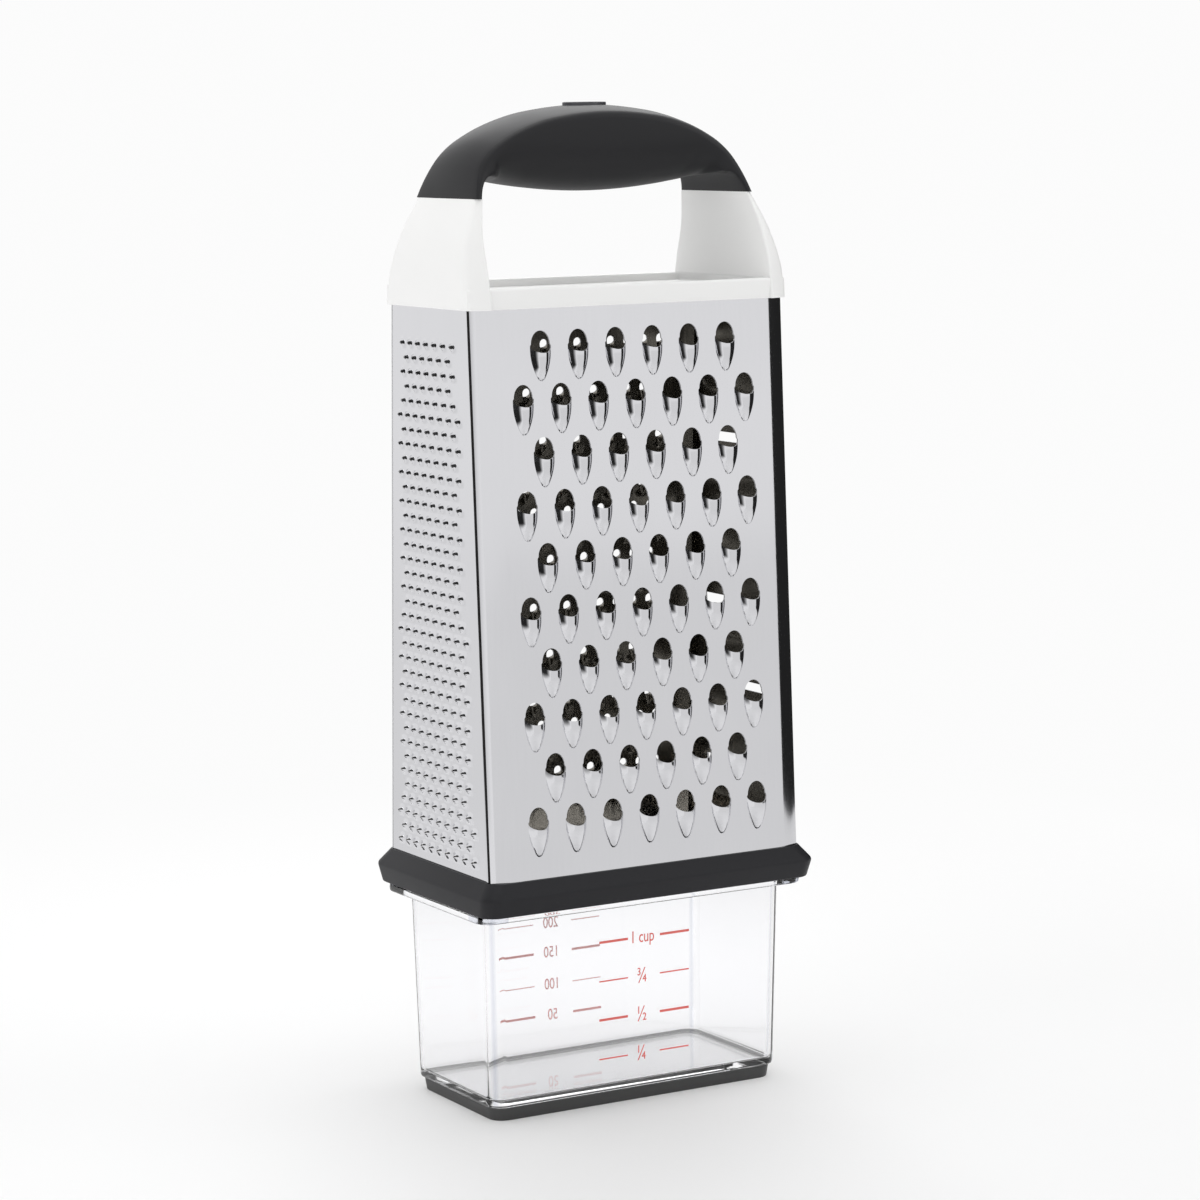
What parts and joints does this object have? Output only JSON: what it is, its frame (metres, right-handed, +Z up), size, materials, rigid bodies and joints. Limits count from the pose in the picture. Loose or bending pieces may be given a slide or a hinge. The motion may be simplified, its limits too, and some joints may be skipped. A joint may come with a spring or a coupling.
{
  "type": "box grater",
  "caption": "Tall tapered box grater with steel grating faces, a looped handle and a clear catching container under its collar.",
  "frame": {"origin": "middle of the foot's underside, on the surface that the grater stands on", "axes": "+Z up; the coarse face looks along -Y, the medium face along +Y, the fine face along -X and the slicing face along +X"},
  "size_m": [0.1166, 0.0752, 0.3042],
  "materials": {
    "clear_plastic": "clear moulded plastic, polished",
    "dark_foot": "soft dark foot",
    "steel_sheet": "satin stainless steel sheet",
    "dark_plastic": "satin dark plastic",
    "white_plastic": "white plastic, lightly polished",
    "soft_grip": "soft-touch dark grip",
    "badge_plastic": "plain dark badge"
  },
  "bodies": {
    "container": {"container": "clear_plastic", "container_foot": "dark_foot"},
    "grater": {"coarse_panel": "steel_sheet", "medium_panel": "steel_sheet", "fine_panel": "steel_sheet", "slicing_panel": "steel_sheet", "collar": "dark_plastic", "base_frame": "dark_plastic", "handle": "white_plastic", "grip": "soft_grip", "grip_badge": "badge_plastic"}
  },
  "joints": [
    {"name": "grater_lift", "type": "slide", "parent": "container", "child": "grater", "axis": [0, 0, 1], "range_m": [0, 0.08]}
  ]
}
